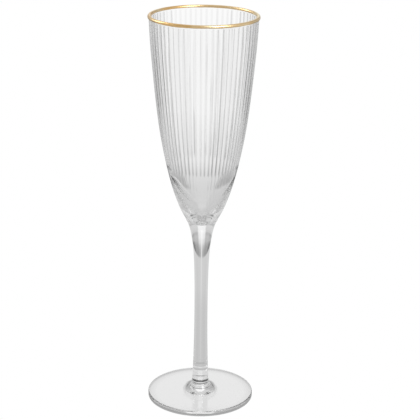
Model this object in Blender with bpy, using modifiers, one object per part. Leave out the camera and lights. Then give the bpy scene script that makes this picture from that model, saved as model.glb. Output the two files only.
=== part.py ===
"""Champagne flute: a tall ribbed bowl with a gilded lip, on a drawn stem and a round foot.

Metres, +Z up, standing on Z = 0 with its axis on the Z axis. Four pieces, each one closed
turned solid: bowl, gold_rim, stem and foot. The hot-fused seams are left as 0.3 mm gaps.
Run with: blender --background --python part.py
"""

import math

import bpy

MM = 0.001

# Driving dimensions, in millimetres
HEIGHT = 240.0          # foot to the top of the gold lip
GAP = 0.3               # between pieces that touch
GOLD_THICK = 0.4        # gold band
GOLD_OUTSIDE = 0.75     # the band's straight skirt below the lip's round, outside
GOLD_INSIDE = 0.45      # and inside
LIP_RADIUS = 32.0       # outside of the glass at the lip
LIP_WALL = 1.35         # glass thickness at the lip
RIBS = 62               # fine vertical flutes round the bowl
RIB_DEPTH = 0.2         # groove depth between two ribs
RIB_START = 149.0       # the ribs end sharply at this height
RIB_END = 237.4         # and fade out under the gold band
CAVITY_FLOOR = 113.9    # lowest point inside the bowl
SEAT_CENTRE = 129.8     # centre of the ball-shaped seat under the bowl
SEAT_RADIUS = 17.2      # of the hollow in the top of the stem
SEAM_RADIUS = 9.4       # outside radius where bowl and stem meet
BOSS_TOP = 7.7          # top of the foot's raised boss
BOSS_RADIUS = 5.6
FOOT_RADIUS = 32.4
FOOT_EDGE = 3.2         # thickness of the foot at its upright edge
EDGE_TOP_ROUND = 0.7    # the edge's upper and lower corners
EDGE_LOW_ROUND = 0.35
RING_INNER = 26.6       # inside of the flat ring that the glass stands on
PUSH_UP = 0.6           # height of the shallow hollow under the foot

BOWL_STEPS = 2 * RIBS
GOLD_STEPS = 72
STEM_STEPS = 40
FOOT_STEPS = 72

# Outside of the bowl: height and radius, from the lip down to the seam
BOWL_OUTSIDE = [(238.6, 32.0), (225.0, 31.3), (210.0, 29.98), (195.0, 28.55), (180.0, 26.85), (167.0, 24.95),
                (155.0, 22.6), (145.0, 20.3), (137.0, 18.2), (130.0, 15.95), (124.0, 13.6), (120.0, 11.7),
                (115.76, 9.4)]
# Inside of the bowl: height and radius, from the lip down to its round floor
BOWL_INSIDE = [(238.6, 30.65), (225.0, 30.0), (210.0, 28.8), (195.0, 27.4), (180.0, 25.7), (167.0, 23.8),
               (158.0, 22.15), (150.0, 20.5), (143.0, 18.75), (137.2, 16.9), (132.2, 14.8), (127.4, 12.4),
               (123.2, 9.7), (119.5, 6.9), (116.9, 4.9), (115.1, 3.2), (114.2, 1.6)]
# Outside of the stem: height and radius, from the flare under the bowl to the foot
STEM_OUTSIDE = [(115.35, 9.25), (112.0, 7.82), (108.0, 6.74), (105.0, 6.15), (102.0, 5.66), (99.0, 5.27),
                (96.0, 4.96), (92.0, 4.66), (85.0, 4.35), (70.0, 4.03), (55.0, 3.99), (42.0, 4.06),
                (30.0, 4.34), (20.0, 4.58), (14.0, 4.8), (10.0, 5.15), (8.0, 5.55)]
# Top of the foot: radius and height, from the boss to the edge
FOOT_TOP = [(BOSS_RADIUS, BOSS_TOP), (6.1, 6.95), (6.7, 6.2), (7.6, 5.55), (8.9, 5.0), (10.2, 4.6),
            (11.8, 4.3), (14.5, 4.1), (19.0, 3.85), (24.5, 3.55), (29.0, 3.3), (31.45, FOOT_EDGE)]


def clear_scene():
    for obj in list(bpy.data.objects):
        bpy.data.objects.remove(obj, do_unlink=True)
    for coll in list(bpy.data.collections):
        bpy.data.collections.remove(coll)
    for mesh in list(bpy.data.meshes):
        bpy.data.meshes.remove(mesh)


def collection(name):
    coll = bpy.data.collections.new(name)
    bpy.context.scene.collection.children.link(coll)
    return coll


def principled(name, colour, roughness, metallic=0.0, transmission=0.0, ior=1.5):
    mat = bpy.data.materials.new(name)
    mat.use_nodes = True
    shader = mat.node_tree.nodes["Principled BSDF"]
    shader.inputs["Base Color"].default_value = (*colour, 1.0)
    shader.inputs["Roughness"].default_value = roughness
    shader.inputs["Metallic"].default_value = metallic
    shader.inputs["Transmission Weight"].default_value = transmission
    shader.inputs["IOR"].default_value = ior
    mat.diffuse_color = (*colour, 1.0)
    return mat


def radius_at(stations, z):
    """Radius at a height, on a smooth curve through (height, radius) stations that run downwards."""
    pts = sorted(stations)
    if z <= pts[0][0]:
        return pts[0][1]
    if z >= pts[-1][0]:
        return pts[-1][1]
    i = max(k for k in range(len(pts) - 1) if pts[k][0] <= z)

    def slope(k):
        a, b = max(k - 1, 0), min(k + 1, len(pts) - 1)
        return (pts[b][1] - pts[a][1]) / (pts[b][0] - pts[a][0])

    (z0, r0), (z1, r1) = pts[i], pts[i + 1]
    h = z1 - z0
    t = (z - z0) / h
    return (r0 * (2 * t ** 3 - 3 * t ** 2 + 1) + slope(i) * h * (t ** 3 - 2 * t ** 2 + t)
            + r1 * (3 * t ** 2 - 2 * t ** 3) + slope(i + 1) * h * (t ** 3 - t ** 2))


def arc(centre_r, centre_z, radius, start, end, count):
    """Points on an arc in the (radius, height) plane, angles in degrees from the +radius direction."""
    out = []
    for k in range(count + 1):
        a = math.radians(start + (end - start) * k / count)
        out.append((centre_r + radius * math.cos(a), centre_z + radius * math.sin(a)))
    return out


def turned(name, profile, steps, mat, coll, closed=False):
    """A Screw modifier on a profile of (radius, height) points that runs down the outer side."""
    mesh = bpy.data.meshes.new(name)
    verts = [(r * MM, 0.0, z * MM) for r, z in profile]
    edges = [(i, i + 1) for i in range(len(verts) - 1)]
    if closed:
        edges.append((len(verts) - 1, 0))
    mesh.from_pydata(verts, edges, [])
    obj = bpy.data.objects.new(name, mesh)
    coll.objects.link(obj)
    screw = obj.modifiers.new("Turn", "SCREW")
    screw.axis = "Z"
    screw.angle = math.tau
    screw.steps = steps
    screw.render_steps = steps
    screw.use_merge_vertices = True
    screw.merge_threshold = 0.00001
    screw.use_smooth_shade = True
    mesh.materials.append(mat)
    return obj


def applied(obj):
    """The turned shape as a mesh of its own, welded and shaded smooth up to 35 degrees."""
    bpy.context.view_layer.update()
    name, coll = obj.name, obj.users_collection[0]
    mesh = bpy.data.meshes.new_from_object(obj.evaluated_get(bpy.context.evaluated_depsgraph_get()))
    bpy.data.objects.remove(obj, do_unlink=True)
    mesh.name = name
    mesh.shade_smooth()
    mesh.set_sharp_from_angle(angle=math.radians(35))
    new = bpy.data.objects.new(name, mesh)
    coll.objects.link(new)
    return new


def rib_depth_at(z):
    """Full depth on the ribbed part of the wall, zero below it and under the gold band."""
    if z < RIB_START - 0.5 or z > RIB_END + 0.5:
        return 0.0
    return RIB_DEPTH


def build_bowl(mat, coll):
    seat_r = SEAT_RADIUS - GAP
    half = LIP_WALL / 2
    lip_r, lip_z = LIP_RADIUS - half, HEIGHT - GOLD_THICK - GAP - half
    inside = [(0.0, CAVITY_FLOOR)]
    inside += [(radius_at(BOWL_INSIDE, z), z) for z in (114.2, 115.1, 116.9, 119.5, 123.2, 127.4, 132.2, 138, 146, 156,
                                                        167, 180, 195, 210, 225)]
    lip = arc(lip_r, lip_z, half, 180, 0, 4)
    heights = [RIB_END + 0.6, RIB_END - 0.4, 225, 210, 195, 180, 168, 158, RIB_START + 0.6, RIB_START - 1.0, 142, 136,
               130, 124.5, 120, 117.5]
    outside = [(radius_at(BOWL_OUTSIDE, z), z) for z in heights]
    edge = math.degrees(math.acos(SEAM_RADIUS / seat_r))
    seat = arc(0.0, SEAT_CENTRE, seat_r, -edge, -90, 3)
    seat[-1] = (0.0, SEAT_CENTRE - seat_r)
    obj = applied(turned("bowl", inside + lip + outside + seat, BOWL_STEPS, mat, coll))
    # Press the grooves into the outer wall: each rib is convex, with a sharp groove beside it
    for v in obj.data.vertices:
        r, z = math.hypot(v.co.x, v.co.y) / MM, v.co.z / MM
        depth = rib_depth_at(z)
        if depth and r > 0.5 * (radius_at(BOWL_OUTSIDE, z) + radius_at(BOWL_INSIDE, z)):
            around = math.atan2(v.co.y, v.co.x)
            cut = depth * (1.0 - abs(math.cos(RIBS * around / 2)))
            v.co.x *= 1.0 - cut / r
            v.co.y *= 1.0 - cut / r
    return obj


def build_gold(mat, coll):
    half = LIP_WALL / 2
    cr, cz = LIP_RADIUS - half, HEIGHT - GOLD_THICK - GAP - half
    inner, outer = half + GAP, half + GAP + GOLD_THICK
    profile = arc(cr, cz, outer, 90, 0, 3)
    profile += [(cr + outer, cz - GOLD_OUTSIDE), (cr + inner, cz - GOLD_OUTSIDE)]
    profile += arc(cr, cz, inner, 0, 180, 4)
    profile += [(cr - inner, cz - GOLD_INSIDE), (cr - outer, cz - GOLD_INSIDE)]
    profile += arc(cr, cz, outer, 180, 90, 3)[:-1]
    return applied(turned("gold_rim", profile, GOLD_STEPS, mat, coll, closed=True))


def build_stem(mat, coll):
    edge = math.degrees(math.acos(STEM_OUTSIDE[0][1] / SEAT_RADIUS))
    seat = arc(0.0, SEAT_CENTRE, SEAT_RADIUS, -90, -edge, 3)
    seat[0] = (0.0, SEAT_CENTRE - SEAT_RADIUS)
    side = [(r, z) for z, r in STEM_OUTSIDE[1:]]
    return applied(turned("stem", seat + side + [(0.0, STEM_OUTSIDE[-1][0])], STEM_STEPS, mat, coll))


def build_foot(mat, coll):
    edge = arc(FOOT_RADIUS - EDGE_TOP_ROUND, FOOT_EDGE - EDGE_TOP_ROUND, EDGE_TOP_ROUND, 68, 0, 3)
    edge += arc(FOOT_RADIUS - EDGE_LOW_ROUND, EDGE_LOW_ROUND, EDGE_LOW_ROUND, 0, -90, 3)
    under = [(RING_INNER, 0.0)]
    under += [(r, PUSH_UP * (1 - (r / RING_INNER) ** 2) ** 2) for r in (20.0, 13.0, 6.5)]
    profile = [(0.0, BOSS_TOP)] + FOOT_TOP + edge + under + [(0.0, PUSH_UP)]
    return applied(turned("foot", profile, FOOT_STEPS, mat, coll))


def main():
    clear_scene()
    coll = collection("champagne_flute")
    clear = (0.93, 0.95, 0.95)
    bowl = build_bowl(principled("bowl_glass", clear, 0.0, transmission=1.0), coll)
    gold = build_gold(principled("gold", (0.79, 0.55, 0.25), 0.22, metallic=1.0), coll)
    stem = build_stem(principled("stem_glass", clear, 0.0, transmission=1.0), coll)
    foot = build_foot(principled("foot_glass", clear, 0.0, transmission=1.0), coll)
    base = bpy.data.objects.new("flute_origin", None)
    base.empty_display_size = 0.02
    coll.objects.link(base)
    for obj in (bowl, gold, stem, foot):
        obj.parent = base


main()
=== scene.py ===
"""Champagne flute: the looks. Ribbed clear bowl with a fired-on gold lip, solid stem, round foot.

Every piece stands for its CAD node and stays on its axis, inside its box. Lengths below are in
millimetres until the meshes are made.
"""

import math

import bpy
import numpy as np
from mathutils import Matrix, Vector


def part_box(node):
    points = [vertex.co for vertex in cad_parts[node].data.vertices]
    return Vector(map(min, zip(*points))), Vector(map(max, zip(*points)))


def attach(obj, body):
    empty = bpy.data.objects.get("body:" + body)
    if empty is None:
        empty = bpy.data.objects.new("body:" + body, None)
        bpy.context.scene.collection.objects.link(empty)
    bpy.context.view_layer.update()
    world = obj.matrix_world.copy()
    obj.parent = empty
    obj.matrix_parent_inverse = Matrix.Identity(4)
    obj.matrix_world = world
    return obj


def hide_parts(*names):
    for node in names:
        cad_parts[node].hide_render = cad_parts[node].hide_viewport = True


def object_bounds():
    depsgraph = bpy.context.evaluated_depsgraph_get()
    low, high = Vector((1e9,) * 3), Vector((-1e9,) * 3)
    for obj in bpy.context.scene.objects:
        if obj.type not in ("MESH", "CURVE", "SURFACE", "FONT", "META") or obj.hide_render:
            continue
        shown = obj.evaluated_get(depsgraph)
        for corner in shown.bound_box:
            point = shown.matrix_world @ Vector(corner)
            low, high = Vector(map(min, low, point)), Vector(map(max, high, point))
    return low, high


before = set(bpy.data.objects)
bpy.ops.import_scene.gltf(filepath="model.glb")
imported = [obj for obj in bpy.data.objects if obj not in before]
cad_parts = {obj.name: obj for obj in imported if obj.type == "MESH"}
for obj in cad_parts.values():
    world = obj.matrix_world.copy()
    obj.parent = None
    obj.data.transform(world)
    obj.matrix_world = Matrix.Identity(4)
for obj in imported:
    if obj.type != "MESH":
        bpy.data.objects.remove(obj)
cad_lo, cad_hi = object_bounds()

MM = 0.001
HEIGHT = cad_hi.z / MM
K = HEIGHT / 240.0                      # the stations below are for a 240 mm glass
BOWL_LO, BOWL_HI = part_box("bowl")
FOOT_LO, FOOT_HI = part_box("foot")
STEM_LO, STEM_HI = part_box("stem")
GOLD_LO, GOLD_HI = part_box("gold_rim")
GOLD_R = GOLD_HI.x / MM                 # outside of the gold band
FOOT_R = FOOT_HI.x / MM
BOSS_Z = FOOT_HI.z / MM                 # the foot's boss ends here and the stem begins

RIBS = 62
RIB_DEPTH = 0.17
DIMPLE = 0.42
FAINT = 0.07                            # how much of a rib carries on below the cut part
RIB_START = 149.0 * K
RIB_END = 238.0 * K
COLUMNS = 12 * RIBS

# Outside of the glass as one curve, height and radius, from the lip to the foot's boss
OUTSIDE = [(237.4, 31.95), (225.0, 31.25), (210.0, 29.98), (195.0, 28.52), (180.0, 26.8), (167.0, 24.9),
           (155.0, 22.6), (145.0, 20.32), (137.0, 18.15), (130.0, 15.9), (124.0, 13.6), (120.0, 11.75),
           (116.0, 9.6), (112.0, 7.85), (108.0, 6.75), (104.0, 5.98), (99.0, 5.28), (92.0, 4.66),
           (82.0, 4.25), (70.0, 4.03), (55.0, 3.98), (42.0, 4.08), (30.0, 4.32), (20.0, 4.58), (14.0, 4.8),
           (10.0, 5.15), (7.6, 5.6)]
# Inside of the bowl as radius and height, from the floor's centre to the lip
INSIDE = [(0.0, 113.9), (1.6, 114.2), (3.2, 115.1), (4.9, 116.9), (6.9, 119.5), (9.7, 123.2), (12.4, 127.4),
          (14.8, 132.2), (16.9, 137.2), (18.75, 143.0), (20.5, 150.0), (22.15, 158.0), (23.8, 167.0),
          (25.7, 180.0), (27.4, 195.0), (28.8, 210.0), (30.0, 225.0), (30.55, 237.4)]
SEAT_Z, SEAT_R = 129.8, 17.05           # the ball-shaped seam between bowl and stem
SEAM_R = 9.45
EDGE_TOP, PUSH_UP = 3.2 * K, 0.6 * K     # the foot's edge, and the hollow under it


# ---------------------------------------------------------------- curves

def spline(xs, ys):
    """A natural cubic spline through the points, as a function."""
    x, y = np.array(xs, float), np.array(ys, float)
    n, h = len(x), np.diff(x)
    a = np.zeros((n, n))
    b = np.zeros(n)
    a[0, 0] = a[-1, -1] = 1.0
    for i in range(1, n - 1):
        a[i, i - 1], a[i, i], a[i, i + 1] = h[i - 1], 2 * (h[i - 1] + h[i]), h[i]
        b[i] = 6 * ((y[i + 1] - y[i]) / h[i] - (y[i] - y[i - 1]) / h[i - 1])
    m = np.linalg.solve(a, b)

    def at(v):
        i = int(min(max(np.searchsorted(x, v) - 1, 0), n - 2))
        s, t = (x[i + 1] - v) / h[i], (v - x[i]) / h[i]
        return float(s * y[i] + t * y[i + 1] + ((s ** 3 - s) * m[i] + (t ** 3 - t) * m[i + 1]) * h[i] ** 2 / 6)

    return at


_out = sorted((z * K, r * K) for z, r in OUTSIDE)
outside = spline([z for z, _ in _out], [r for _, r in _out])


def path_spline(points, mirrored):
    """A smooth path through (radius, height) points, read by length; mirrored keeps it square to the axis at its start."""
    pts = [(r * K, z * K) for r, z in points]
    if mirrored:
        pts = [(-r, z) for r, z in pts[4:0:-1]] + pts
    d = [0.0]
    for (r0, z0), (r1, z1) in zip(pts, pts[1:]):
        d.append(d[-1] + math.hypot(r1 - r0, z1 - z0))
    fr, fz = spline(d, [p[0] for p in pts]), spline(d, [p[1] for p in pts])
    start = d[4] if mirrored else 0.0
    return lambda t: (fr(start + (d[-1] - start) * t), fz(start + (d[-1] - start) * t))


def smoothstep(a, b, v):
    t = min(max((v - a) / (b - a), 0.0), 1.0)
    return t * t * (3 - 2 * t)


def arc(cr, cz, radius, start, end, count):
    out = []
    for k in range(count + 1):
        a = math.radians(start + (end - start) * k / count)
        out.append((cr + radius * math.cos(a), cz + radius * math.sin(a)))
    return out


# ---------------------------------------------------------------- meshes

def revolve(name, profile, columns, slots, shape=None, closed=False, spread=None):
    """Turns (radius, height, slot) points about Z. shape(radius, height, angle) moves a point; a point on the axis is one
    vertex. spread(angle) sets the columns closer together where there is more to show."""
    verts, rows = [], []
    for r, z, _ in profile:
        if r < 1e-6:
            rows.append([len(verts)] * columns)
            verts.append((0.0, 0.0, z * MM))
            continue
        row = []
        for c in range(columns):
            a = math.tau * c / columns
            a = spread(a) if spread else a
            rr, zz = shape(r, z, a) if shape else (r, z)
            row.append(len(verts))
            verts.append((rr * math.cos(a) * MM, rr * math.sin(a) * MM, zz * MM))
        rows.append(row)
    faces, mats = [], []
    pairs = list(range(len(rows) - 1)) + ([len(rows) - 1] if closed else [])
    for i in pairs:
        a, b = rows[i], rows[(i + 1) % len(rows)]
        for c in range(columns):
            n = (c + 1) % columns
            quad = [a[c], b[c], b[n], a[n]]
            face = [v for k, v in enumerate(quad) if v not in quad[:k]]
            faces.append(face)
            mats.append(profile[i][2])
    mesh = bpy.data.meshes.new(name)
    mesh.from_pydata(verts, [], faces)
    mesh.polygons.foreach_set("material_index", mats)
    mesh.update()
    mesh.shade_smooth()
    mesh.set_sharp_from_angle(angle=math.radians(50))
    obj = bpy.data.objects.new(name, mesh)
    bpy.context.scene.collection.objects.link(obj)
    for mat in slots:
        mesh.materials.append(mat)
    return obj


# ---------------------------------------------------------------- materials

def node(tree, kind, **values):
    n = tree.nodes.new(kind)
    for key, value in values.items():
        if key in n.inputs:
            n.inputs[key].default_value = value
        else:
            setattr(n, key, value)
    return n


def new_material(name):
    mat = bpy.data.materials.new(name)
    mat.use_nodes = True
    tree = mat.node_tree
    return mat, tree, tree.nodes["Principled BSDF"]


def glass(name, wave_scale, wave_height, tint=(0.988, 0.988, 0.988)):
    """Clear soda glass: slow surface waves from blowing and fire-polishing, and faint cords in it."""
    mat, tree, bsdf = new_material(name)
    bsdf.inputs["Transmission Weight"].default_value = 1.0
    bsdf.inputs["IOR"].default_value = 1.51
    coords = node(tree, "ShaderNodeTexCoord")
    stretch = node(tree, "ShaderNodeMapping")
    stretch.inputs["Scale"].default_value = (1.0, 1.0, 0.35)
    tree.links.new(coords.outputs["Object"], stretch.inputs["Vector"])
    waves = node(tree, "ShaderNodeTexNoise", Scale=wave_scale, Detail=1.5, Roughness=0.45)
    tree.links.new(stretch.outputs["Vector"], waves.inputs["Vector"])
    bump = node(tree, "ShaderNodeBump", Strength=1.0, Distance=wave_height * MM)
    tree.links.new(waves.outputs["Fac"], bump.inputs["Height"])
    tree.links.new(bump.outputs["Normal"], bsdf.inputs["Normal"])
    haze = node(tree, "ShaderNodeTexNoise", Scale=90.0, Detail=3.0)
    tree.links.new(coords.outputs["Object"], haze.inputs["Vector"])
    rough = node(tree, "ShaderNodeMapRange")
    rough.inputs["From Min"].default_value, rough.inputs["From Max"].default_value = 0.35, 0.8
    rough.inputs["To Min"].default_value, rough.inputs["To Max"].default_value = 0.0, 0.03
    tree.links.new(haze.outputs["Fac"], rough.inputs["Value"])
    tree.links.new(rough.outputs["Result"], bsdf.inputs["Roughness"])
    shade = node(tree, "ShaderNodeMix", data_type="RGBA")
    shade.inputs[6].default_value = (*tint, 1.0)
    shade.inputs[7].default_value = (1.0, 1.0, 1.0, 1.0)
    tree.links.new(waves.outputs["Fac"], shade.inputs[0])
    tree.links.new(shade.outputs[2], bsdf.inputs["Base Color"])
    return mat


def fused_seam(name):
    """Where two glass pieces were joined hot there is no surface left, so light goes straight through."""
    mat = bpy.data.materials.new(name)
    mat.use_nodes = True
    tree = mat.node_tree
    tree.nodes.clear()
    clear = tree.nodes.new("ShaderNodeBsdfTransparent")
    out = tree.nodes.new("ShaderNodeOutputMaterial")
    tree.links.new(clear.outputs["BSDF"], out.inputs["Surface"])
    return mat


def gold_leaf(name):
    """Fired liquid gold, put on by brush: thin, bright, paler where it went on thick, a little streaky round the lip."""
    mat, tree, bsdf = new_material(name)
    bsdf.inputs["Metallic"].default_value = 1.0
    coords = node(tree, "ShaderNodeTexCoord")
    patches = node(tree, "ShaderNodeTexNoise", Scale=52.0, Detail=2.5, Roughness=0.55)
    tree.links.new(coords.outputs["Object"], patches.inputs["Vector"])
    tone = node(tree, "ShaderNodeValToRGB")
    tone.color_ramp.elements[0].position, tone.color_ramp.elements[1].position = 0.36, 0.62
    tone.color_ramp.elements[0].color = (0.76, 0.50, 0.22, 1.0)
    tone.color_ramp.elements[1].color = (0.87, 0.73, 0.47, 1.0)
    tree.links.new(patches.outputs["Fac"], tone.inputs["Fac"])
    tree.links.new(tone.outputs["Color"], bsdf.inputs["Base Color"])
    squash = node(tree, "ShaderNodeMapping")
    squash.inputs["Scale"].default_value = (1.0, 1.0, 14.0)
    tree.links.new(coords.outputs["Object"], squash.inputs["Vector"])
    streaks = node(tree, "ShaderNodeTexNoise", Scale=320.0, Detail=3.0)
    tree.links.new(squash.outputs["Vector"], streaks.inputs["Vector"])
    rough = node(tree, "ShaderNodeMapRange")
    rough.inputs["To Min"].default_value, rough.inputs["To Max"].default_value = 0.2, 0.4
    tree.links.new(streaks.outputs["Fac"], rough.inputs["Value"])
    tree.links.new(rough.outputs["Result"], bsdf.inputs["Roughness"])
    bump = node(tree, "ShaderNodeBump", Strength=0.5, Distance=0.03 * MM)
    tree.links.new(streaks.outputs["Fac"], bump.inputs["Height"])
    tree.links.new(bump.outputs["Normal"], bsdf.inputs["Normal"])
    return mat


# ---------------------------------------------------------------- pieces

seam = fused_seam("fused_seam")


def dimples(z, angle):
    """Depth of two slanting patches of small dimples low on the front, one to a rib, set like a chequerboard."""
    left = 24.0 + 2.7 * (z / K - 133.0)
    right = 48.0 + 2.8 * (z / K - 136.0)
    turn = (math.degrees(angle) + 90.0 + 180.0) % 360.0 - 180.0          # 0 at the front, positive to the right
    a = math.exp(-((turn + left) / 8.5) ** 4) * smoothstep(131.0, 133.5, z / K) * (1 - smoothstep(143.5, 146.5, z / K))
    b = math.exp(-((turn - right) / 7.0) ** 4) * smoothstep(134.5, 136.5, z / K) * (1 - smoothstep(143.0, 145.5, z / K))
    return (a + b) * DIMPLE * (0.5 + 0.5 * math.cos(math.tau * z / (1.7 * K)) * math.cos(RIBS * angle))


def rib_cut(z, angle):
    """Depth taken off the wall: broad, slightly rounded ribs with a narrow groove between each two. No two grooves are alike."""
    fade = FAINT * smoothstep(116.0 * K, 127.0 * K, z) + (1 - FAINT) * smoothstep(RIB_START - 1.0, RIB_START + 2.5, z)
    fade *= 1 - smoothstep(RIB_END - 0.6, RIB_END, z)
    if fade <= 0.0:
        return 0.0
    turn = RIBS * angle / math.tau
    number = int(round(turn)) % RIBS
    vary = 1.0 + 0.35 * math.sin(2.4 * number * number + 1.3 * number)
    shift = 0.05 * math.sin(3.7 * number + 0.9 * number * number)
    off = turn - round(turn) - shift                       # 0 in the middle of a groove
    groove_cut = RIB_DEPTH * vary * math.exp(-(off / 0.085) ** 2)
    crown = 0.15 * RIB_DEPTH * (math.cos(math.tau * off) * 0.5 + 0.5)
    return fade * (groove_cut + crown) + dimples(z, angle)


def build_bowl():
    inner = path_spline(INSIDE, mirrored=True)
    profile = [(*inner(t), 0) for t in np.concatenate([np.linspace(0.0, 0.3, 24), np.linspace(0.33, 1.0, 17)])]
    profile[0] = (0.0, INSIDE[0][1] * K, 0)
    # A fire-polished bead at the lip
    bead, bead_z = 0.95 * K, HEIGHT - 1.1 * K
    bead_r = GOLD_R - 0.22 - bead
    profile += [(r, z, 0) for r, z in arc(bead_r, bead_z, bead, 172, 8, 10)]
    heights = list(np.linspace(RIB_END, RIB_END - 0.7, 5)) + list(np.linspace(RIB_END - 2, RIB_START + 3.6, 17))
    heights += list(np.linspace(RIB_START + 2.8, RIB_START - 1.2, 7))
    seat_z, seat_r = SEAT_Z * K, SEAT_R * K
    seam_z = seat_z - math.sqrt(seat_r ** 2 - (SEAM_R * K) ** 2)
    heights += list(np.linspace(RIB_START - 1.7, 131.2 * K, 38)) + list(np.linspace(130.0 * K, seam_z + 0.4, 9))
    profile += [(outside(z), z, 0) for z in heights]
    edge = math.degrees(math.acos(SEAM_R * K / seat_r))
    seat = arc(0.0, seat_z, seat_r, -edge, -90, 5)
    profile += [(r, z, 1) for r, z in seat[:-1]] + [(0.0, seat_z - seat_r, 1)]

    def shape(r, z, a):
        if r > outside(min(max(z, 8.0), RIB_END)) - 0.05 and z <= RIB_END:
            return r - rib_cut(z, a), z
        return r, z

    def spread(a):
        return a - 0.1 * math.sin(RIBS * a) / RIBS

    return revolve("ribbed_bowl", profile, COLUMNS, [glass("bowl_glass", 26.0, 0.02), seam], shape, spread=spread)


def groove(z):
    """Rings left where the foot was worked on to the stem: two drawn-in lines and slow ripples above."""
    lines = 0.12 * math.exp(-((z - 11.3) / 0.38) ** 2) + 0.24 * math.exp(-((z - 8.7) / 0.42) ** 2)
    ripple = smoothstep(12.0, 15.0, z) * (1 - smoothstep(20.0, 26.0, z))
    return lines + 0.03 * math.sin(2.2 * z) * ripple


def build_stem():
    seat_z, seat_r = SEAT_Z * K, (SEAT_R + 0.03) * K
    seam_z = seat_z - math.sqrt(seat_r ** 2 - (SEAM_R * K) ** 2)
    edge = math.degrees(math.acos(SEAM_R * K / seat_r))
    seat = arc(0.0, seat_z, seat_r, -90, -edge, 10)
    profile = [(0.0, seat_z - seat_r, 1)] + [(r, z, 1) for r, z in seat[1:]]
    profile[-1] = (*profile[-1][:2], 0)
    bottom = BOSS_Z + 0.03
    heights = list(np.linspace(seam_z - 0.3, 25.0, 120)) + list(np.linspace(24.8, bottom, 110))
    profile += [(outside(z) - groove(z), z, 0) for z in heights]
    profile[-1] = (*profile[-1][:2], 1)
    profile += [(profile[-1][0] * 0.5, bottom, 1), (0.0, bottom, 1)]
    return revolve("drawn_stem", profile, 144, [glass("stem_glass", 45.0, 0.02), seam])


def build_foot():
    boss_r = outside(BOSS_Z) - groove(BOSS_Z)
    top = [(boss_r, BOSS_Z), (6.1, 6.95), (6.7, 6.2), (7.6, 5.55), (8.9, 5.0), (10.2, 4.6), (11.8, 4.3), (14.5, 4.1),
           (19.0, 3.85), (24.5, 3.55), (29.0, 3.3), (31.5, 3.2)]
    d = [0.0]
    for (r0, z0), (r1, z1) in zip(top, top[1:]):
        d.append(d[-1] + math.hypot(r1 - r0, z1 - z0))
    fr, fz = spline(d, [p[0] for p in top]), spline(d, [p[1] for p in top])
    profile = [(0.0, BOSS_Z, 1), (boss_r * 0.5, BOSS_Z, 1)]
    profile += [(fr(t), fz(t), 0) for t in np.linspace(0, d[-1], 70)]
    profile += [(r, z, 0) for r, z in arc(FOOT_R - 0.7, EDGE_TOP - 0.7, 0.7, 84, 4, 8)]
    profile += [(FOOT_R, EDGE_TOP * 0.5, 0)]
    profile += [(r, z, 0) for r, z in arc(FOOT_R - 0.35, 0.35, 0.35, -4, -86, 8)]
    profile += [(FOOT_R - 0.65, 0.0, 0), (29.0, 0.0, 0), (26.6, 0.0, 0)]
    profile += [(r, PUSH_UP * (1 - (r / 26.6) ** 2) ** 2, 0) for r in np.linspace(25.6, 1.0, 24)] + [(0.0, PUSH_UP, 0)]
    return revolve("pressed_foot", profile, 192, [glass("foot_glass", 38.0, 0.03), seam])


def build_gold():
    """A thin film over the bead: down the outside, over the top and a little way inside."""
    bead, bead_z = 0.95 * K, HEIGHT - 1.1 * K
    bead_r = GOLD_R - 0.22 - bead
    film_in, film_out = bead + 0.03, bead + 0.15
    outer = arc(bead_r, bead_z, film_out, 90, -38, 20)
    inner = arc(bead_r, bead_z, film_in, -38, 200, 30)
    back = arc(bead_r, bead_z, film_out, 200, 90, 16)[:-1]
    profile = [(r, z, 0) for r, z in outer + inner + back]

    def shape(r, z, a):
        # the brushed lower edges waver slightly
        low = smoothstep(bead_z - 0.2, bead_z - 0.9, z)
        wave = 0.06 * math.sin(7 * a + 0.6) + 0.05 * math.sin(17 * a + 2.1) + 0.03 * math.sin(41 * a)
        return r, z + low * wave

    return revolve("gold_lip", profile, 360, [gold_leaf("gold_leaf")], shape, closed=True)


for build, cad_node, slot in ((build_bowl, "bowl", "bowl_glass"), (build_gold, "gold_rim", "gold"),
                              (build_stem, "stem", "stem_glass"), (build_foot, "foot", "foot_glass")):
    piece = build()
    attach(piece, "root")
    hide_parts(cad_node)


# ---------------------------------------------------------------- floor, light and camera

def chain(tree, socket, *steps):
    """Runs a value through maths nodes: each step is (operation, number) with the value coming first."""
    for operation, number in steps:
        n = node(tree, "ShaderNodeMath", operation=operation)
        tree.links.new(socket, n.inputs[0])
        if number is not None:
            n.inputs[1].default_value = number
        socket = n.outputs[0]
    return socket


def ramp(tree, socket, stops, top):
    """A grey level read off along a value between 0 and top."""
    n = node(tree, "ShaderNodeValToRGB")
    tree.links.new(chain(tree, socket, ("DIVIDE", top)), n.inputs["Fac"])
    while len(n.color_ramp.elements) < len(stops):
        n.color_ramp.elements.new(0.5)
    for element, (at, level) in zip(n.color_ramp.elements, stops):
        element.position = at / top
        element.color = (level, level, level, 1.0)
    return n.outputs["Color"]


def blend(tree, factor, a, b):
    n = node(tree, "ShaderNodeMix", data_type="RGBA")
    tree.links.new(factor, n.inputs[0])
    tree.links.new(a, n.inputs[6])
    tree.links.new(b, n.inputs[7])
    return n.outputs[2]


def soft_step(tree, socket, low, high):
    n = node(tree, "ShaderNodeMapRange", interpolation_type="SMOOTHSTEP")
    n.inputs["From Min"].default_value, n.inputs["From Max"].default_value = low, high
    tree.links.new(socket, n.inputs["Value"])
    return n.outputs["Result"]


def bearing(tree, x, y):
    """How far round from straight behind, in degrees, 0 to 180."""
    n = node(tree, "ShaderNodeMath", operation="ARCTAN2")
    tree.links.new(chain(tree, x, ("ABSOLUTE", None)), n.inputs[0])
    tree.links.new(y, n.inputs[1])
    return chain(tree, n.outputs[0], ("MULTIPLY", 180.0 / math.pi))


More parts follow.
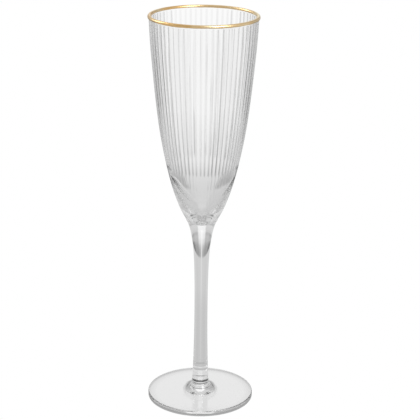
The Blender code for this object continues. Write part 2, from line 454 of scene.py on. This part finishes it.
def white_to_camera(tree, grey, strength_socket):
    """The page-white set the camera sees; what the glass bends and mirrors is the graded set."""
    path = node(tree, "ShaderNodeLightPath")
    white = node(tree, "ShaderNodeRGB")
    white.outputs[0].default_value = (1.0, 1.0, 1.0, 1.0)
    tree.links.new(blend(tree, path.outputs["Is Camera Ray"], grey, white.outputs[0]), strength_socket)


def stage_floor():
    size, rows = 16.0, 8
    verts = [((i / rows - 0.5) * size, (j / rows - 0.5) * size, -0.0004) for j in range(rows + 1) for i in range(rows + 1)]
    faces = [(j * (rows + 1) + i, j * (rows + 1) + i + 1, (j + 1) * (rows + 1) + i + 1, (j + 1) * (rows + 1) + i)
             for j in range(rows) for i in range(rows)]
    mesh = bpy.data.meshes.new("floor")
    mesh.from_pydata(verts, [], faces)
    floor = bpy.data.objects.new("floor", mesh)
    bpy.context.scene.collection.objects.link(floor)
    # the floor glows: plain white to the camera, and painted light and shade for what the glass bends and mirrors
    mat = bpy.data.materials.new("pale_floor_painted_light_and_shade")
    mat.use_nodes = True
    mat.cycles.emission_sampling = "NONE"
    tree = mat.node_tree
    tree.nodes.clear()
    place = node(tree, "ShaderNodeNewGeometry")
    split = node(tree, "ShaderNodeSeparateXYZ")
    tree.links.new(place.outputs["Position"], split.inputs["Vector"])
    x, y = split.outputs["X"], split.outputs["Y"]
    length = node(tree, "ShaderNodeVectorMath", operation="LENGTH")
    tree.links.new(place.outputs["Position"], length.inputs[0])
    far, turn = length.outputs["Value"], bearing(tree, x, y)
    # painted light and shade on the glowing floor, seen only in the glass: behind the glass the painted table ends 0.31
    # m back, in front of a painted dark band of shade; a painted strip of light, like a bright doorway, stands straight
    # behind
    painted_light_strip = ramp(tree, y, [(0.0, 0.6), (0.13, 0.645), (0.2, 0.7), (0.3, 0.71), (0.42, 0.74), (0.52, 0.86), (0.7, 0.96), (2.0, 1.02)], 2.0)
    beside = ramp(tree, y, [(0.0, 0.56), (0.13, 0.60), (0.305, 0.62), (0.325, 0.38), (0.38, 0.40), (0.44, 0.52), (0.52, 0.72), (0.7, 0.87), (2.0, 0.94)], 2.0)
    further = ramp(tree, y, [(0.0, 0.54), (0.13, 0.58), (0.305, 0.62), (0.325, 0.30), (0.43, 0.34), (0.49, 0.40), (0.58, 0.50), (0.8, 0.54), (1.1, 0.48), (1.6, 0.50), (2.0, 0.60)], 2.0)
    wide = ramp(tree, y, [(0.0, 0.60), (0.10, 0.64), (0.305, 0.64), (0.325, 0.08), (0.40, 0.14), (0.49, 0.26), (0.58, 0.44), (0.8, 0.44), (1.1, 0.36), (1.6, 0.42), (2.0, 0.58)], 2.0)
    # painted shade to the sides and in front: darker rings some 0.1 to 0.3 m out from the glass
    sides = ramp(tree, far, [(0.0, 0.60), (0.12, 0.54), (0.22, 0.50), (0.32, 0.60), (0.8, 0.85), (1.6, 0.85)], 2.0)
    front = ramp(tree, far, [(0.0, 0.60), (0.07, 0.36), (0.14, 0.30), (0.20, 0.82), (0.6, 0.68), (1.8, 0.72)], 2.0)
    grey = blend(tree, soft_step(tree, turn, 1.8, 5.0), painted_light_strip, beside)
    grey = blend(tree, soft_step(tree, turn, 9.0, 17.0), grey, further)
    grey = blend(tree, soft_step(tree, turn, 28.0, 44.0), grey, wide)
    grey = blend(tree, soft_step(tree, turn, 60.0, 80.0), grey, sides)
    grey = blend(tree, soft_step(tree, turn, 110.0, 130.0), grey, front)
    # painted shade under the foot, and a thin painted shadow round its edge
    foot_painted_shadow = ramp(tree, far, [(0.0, 0.76), (0.027, 0.76), (0.031, 0.66), (0.034, 0.34), (0.040, 0.46), (0.055, 0.60)], 0.1)
    spot = node(tree, "ShaderNodeVectorMath", operation="DISTANCE")
    tree.links.new(place.outputs["Position"], spot.inputs[0])
    # painted shadow of the stem: a dark spot painted on the floor just behind it
    spot.inputs[1].default_value = (0.0, 0.0085, 0.0)      # the stem's own shadow falls just behind it
    stem_painted_shadow = ramp(tree, spot.outputs["Value"], [(0.0, 0.06), (0.0055, 0.10), (0.0085, 0.66), (0.02, 0.76)], 0.02)
    foot_painted_shadow = blend(tree, soft_step(tree, spot.outputs["Value"], 0.0075, 0.0095), stem_painted_shadow, foot_painted_shadow)
    grey = blend(tree, soft_step(tree, far, 0.038, 0.056), foot_painted_shadow, grey)
    glow = node(tree, "ShaderNodeEmission")
    white_to_camera(tree, grey, glow.inputs["Color"])
    out = node(tree, "ShaderNodeOutputMaterial")
    tree.links.new(glow.outputs[0], out.inputs["Surface"])
    mesh.materials.append(mat)


def studio_world():
    world = bpy.data.worlds.new("studio")
    world.use_nodes = True
    bpy.context.scene.world = world
    tree = world.node_tree
    back = tree.nodes["Background"]
    coords = node(tree, "ShaderNodeTexCoord")
    split = node(tree, "ShaderNodeSeparateXYZ")
    tree.links.new(coords.outputs["Generated"], split.inputs["Vector"])
    x, y, up = split.outputs["X"], split.outputs["Y"], split.outputs["Z"]
    turn = bearing(tree, x, y)
    behind = ramp(tree, up, [(0.0, 0.92), (0.2, 0.96), (0.5, 1.02), (0.8, 0.95), (0.95, 0.6)], 1.0)
    beside = ramp(tree, up, [(0.0, 0.64), (0.10, 0.66), (0.20, 0.66), (0.26, 0.46), (0.5, 0.46), (0.6, 0.64), (0.95, 0.68)], 1.0)
    sides = ramp(tree, up, [(0.0, 0.8), (0.2, 0.76), (0.3, 0.66), (0.9, 0.7)], 1.0)
    front = ramp(tree, up, [(0.0, 0.80), (0.2, 0.72), (0.3, 0.44), (0.5, 0.44), (0.65, 0.6), (0.95, 0.68)], 1.0)
    grey = blend(tree, soft_step(tree, turn, 9.0, 15.0), behind, beside)
    grey = blend(tree, soft_step(tree, turn, 52.0, 68.0), grey, sides)
    grey = blend(tree, soft_step(tree, turn, 112.0, 128.0), grey, front)
    white_to_camera(tree, grey, back.inputs["Color"])
    back.inputs["Strength"].default_value = 1.0


def area_light(name, place, target, size, power):
    data = bpy.data.lights.new(name, "AREA")
    data.shape = "RECTANGLE"
    data.size, data.size_y = size
    data.energy = power
    light = bpy.data.objects.new(name, data)
    bpy.context.scene.collection.objects.link(light)
    light.location = Vector(place)
    light.rotation_euler = (Vector(target) - Vector(place)).to_track_quat("-Z", "Y").to_euler()
    light.visible_transmission = False
    return light


def camera():
    """Seen from the front, 18.5 degrees above the horizon, rolled by 0.6 degrees as the glass leans in its picture."""
    data = bpy.data.cameras.new("camera")
    cam = bpy.data.objects.new("camera", data)
    bpy.context.scene.collection.objects.link(cam)
    elevation, roll = math.radians(18.46), math.radians(0.591)
    back = Vector((0.0, -math.cos(elevation), math.sin(elevation)))
    right = Vector((1.0, 0.0, 0.0))
    up = back.cross(right)
    r = right * math.cos(roll) + up * math.sin(roll)
    u = up * math.cos(roll) - right * math.sin(roll)
    aim = Vector((0.0, 0.0, 0.5057 * HEIGHT * MM))
    place = aim + back * (3.653 * HEIGHT * MM)
    cam.matrix_world = Matrix(((r.x, u.x, back.x, place.x), (r.y, u.y, back.y, place.y),
                               (r.z, u.z, back.z, place.z), (0, 0, 0, 1)))
    data.sensor_width = 36.0
    data.lens = 36.0 * 1457.1 / 420.0
    data.shift_x = (210.0 - 201.99) / 420.0
    data.clip_start, data.clip_end = 0.01, 20.0
    bpy.context.scene.camera = cam


stage_floor()
studio_world()
area_light("key", (0.55, -0.7, 1.0), (0, 0, 0.2), (0.6, 0.9), 9.0)
area_light("fill", (-0.9, 0.5, 0.9), (0, 0, 0.2), (0.5, 0.7), 4.0)
camera()
scene = bpy.context.scene
scene.view_settings.view_transform = "Standard"
scene.cycles.max_bounces = scene.cycles.transmission_bounces = 48     # light crosses many walls in solid glass
scene.cycles.glossy_bounces = scene.cycles.transparent_max_bounces = 24
